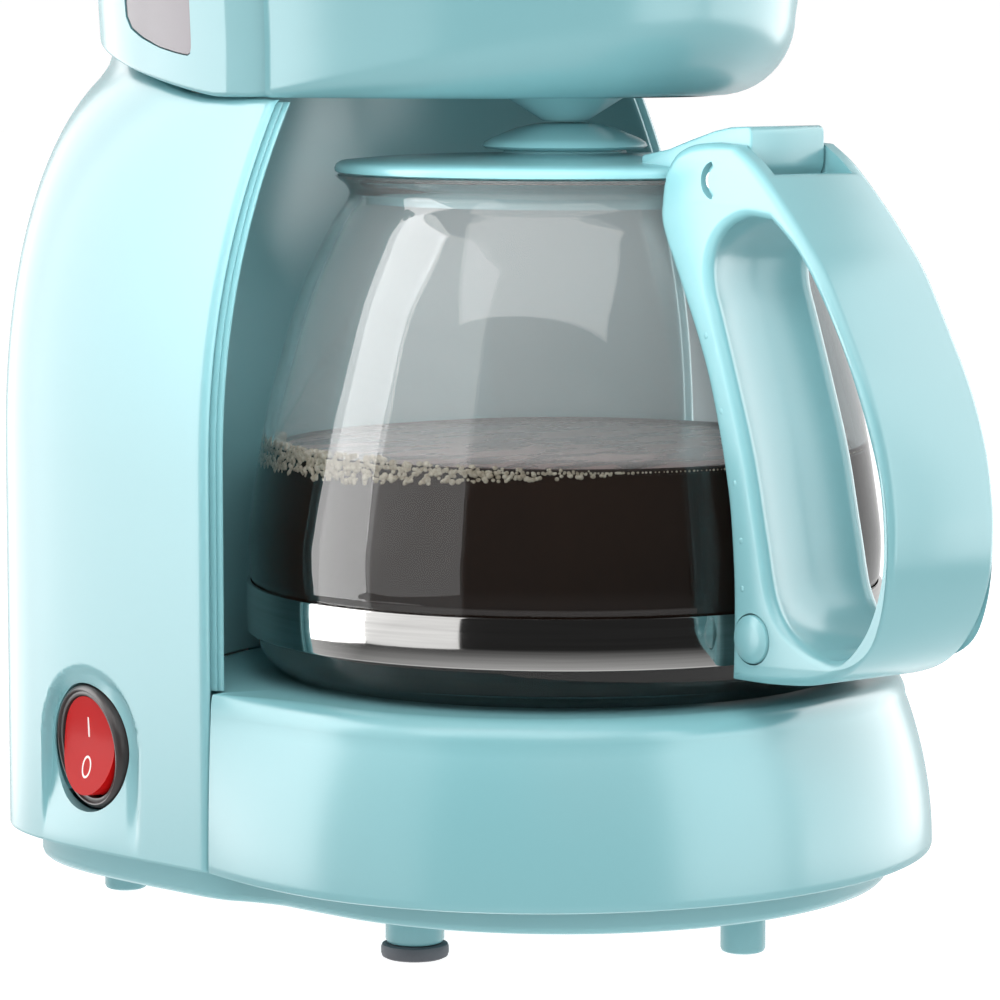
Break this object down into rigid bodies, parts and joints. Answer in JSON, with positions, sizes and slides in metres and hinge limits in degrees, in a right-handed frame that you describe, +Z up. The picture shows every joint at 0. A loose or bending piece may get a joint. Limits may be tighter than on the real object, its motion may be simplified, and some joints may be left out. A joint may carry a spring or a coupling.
{
  "type": "drip coffee maker",
  "caption": "Small drip coffee maker with a glass carafe on a warming plate, a side rocker switch, a water tank and filter basket under a hinged lid, and a drip stop.",
  "frame": {"origin": "on the table under the carafe's axis, which is also the middle of the footprint", "axes": "+Z up, -Y towards the front where the carafe is taken out, -X on the switch's side"},
  "size_m": [0.14, 0.1995, 0.2483],
  "materials": {
    "aqua_plastic": "glossy moulded plastic",
    "dark_coating": "non-stick coating",
    "silicone": "matt translucent silicone",
    "cast_aluminium": "as cast",
    "steel": "bright zinc plated",
    "polished_band": "mirror polished",
    "carafe_glass": "clear glass",
    "smoked_window": "smoky translucent",
    "tank_plastic": "translucent",
    "rocker_red": "translucent red",
    "black_plastic": "glossy",
    "pad_rubber": "matt",
    "filter_mesh": "fine nylon mesh",
    "ceramic": "cream insulator"
  },
  "bodies": {
    "housing": {"tower_shell": "aqua_plastic", "niche_panel": "aqua_plastic", "base_shell": "aqua_plastic", "bottom_cover": "aqua_plastic", "rubber_feet": "pad_rubber", "cover_screws": "steel", "cord_inlet": "black_plastic", "warming_plate": "dark_coating", "plate_seal": "silicone", "heater_block": "cast_aluminium", "heating_element": "steel", "heater_bracket": "steel", "thermostat": "ceramic", "thermal_fuses": "ceramic", "check_valve_body": "silicone", "cold_water_hose": "silicone", "hot_water_hose": "silicone", "hose_clamps": "steel", "head_shell": "aqua_plastic", "water_tank": "tank_plastic", "water_window": "smoked_window", "spray_arm": "aqua_plastic", "filter_basket": "aqua_plastic", "mesh_filter": "filter_mesh", "valve_spring": "steel", "hinge_bracket": "aqua_plastic", "top_lid_pin": "steel", "switch_bezel": "black_plastic", "switch_body": "black_plastic"},
    "top_lid": {"top_lid": "aqua_plastic", "lid_hinge_arm": "aqua_plastic"},
    "rocker": {"rocker": "rocker_red"},
    "drip_valve": {"drip_valve": "aqua_plastic", "valve_seal": "silicone"},
    "check_ball": {"check_ball": "steel"},
    "carafe": {"carafe_glass": "carafe_glass", "carafe_band": "polished_band", "carafe_handle": "aqua_plastic", "band_screw": "steel", "handle_caps": "aqua_plastic", "carafe_lid_pin": "steel"},
    "carafe_lid": {"carafe_lid": "aqua_plastic"}
  },
  "joints": [
    {"name": "top_lid_hinge", "type": "hinge", "parent": "housing", "child": "top_lid", "pos_m": [0, 0.0946, 0.236], "axis": [-1, 0, 0], "range_deg": [0, 100]},
    {"name": "rocker_hinge", "type": "hinge", "parent": "housing", "child": "rocker", "pos_m": [-0.0641, 0.0566, 0.0335], "axis": [-0.2079, -0.9781, 0], "range_deg": [0, 16]},
    {"name": "carafe_slide", "type": "slide", "parent": "housing", "child": "carafe", "axis": [0, -1, 0], "range_m": [0, 0.2]},
    {"name": "carafe_lid_hinge", "type": "hinge", "parent": "carafe", "child": "carafe_lid", "pos_m": [-0.00738, -0.05248, 0.1375], "axis": [0.9903, -0.1392, 0], "range_deg": [0, 2.5]},
    {"name": "drip_valve_slide", "type": "slide", "parent": "housing", "child": "drip_valve", "axis": [0, 0, 1], "range_m": [0, 0.0024], "stiffness_N_per_m": 100, "springref_m": -0.003, "deforming": ["valve_spring"]},
    {"name": "check_ball_slide", "type": "slide", "parent": "housing", "child": "check_ball", "axis": [0, -1, 0], "range_m": [0, 0.0024]}
  ],
  "couplings": [
    {"joint": "drip_valve_slide", "follows": "carafe_lid_hinge", "m_per_rad": 0.053}
  ]
}
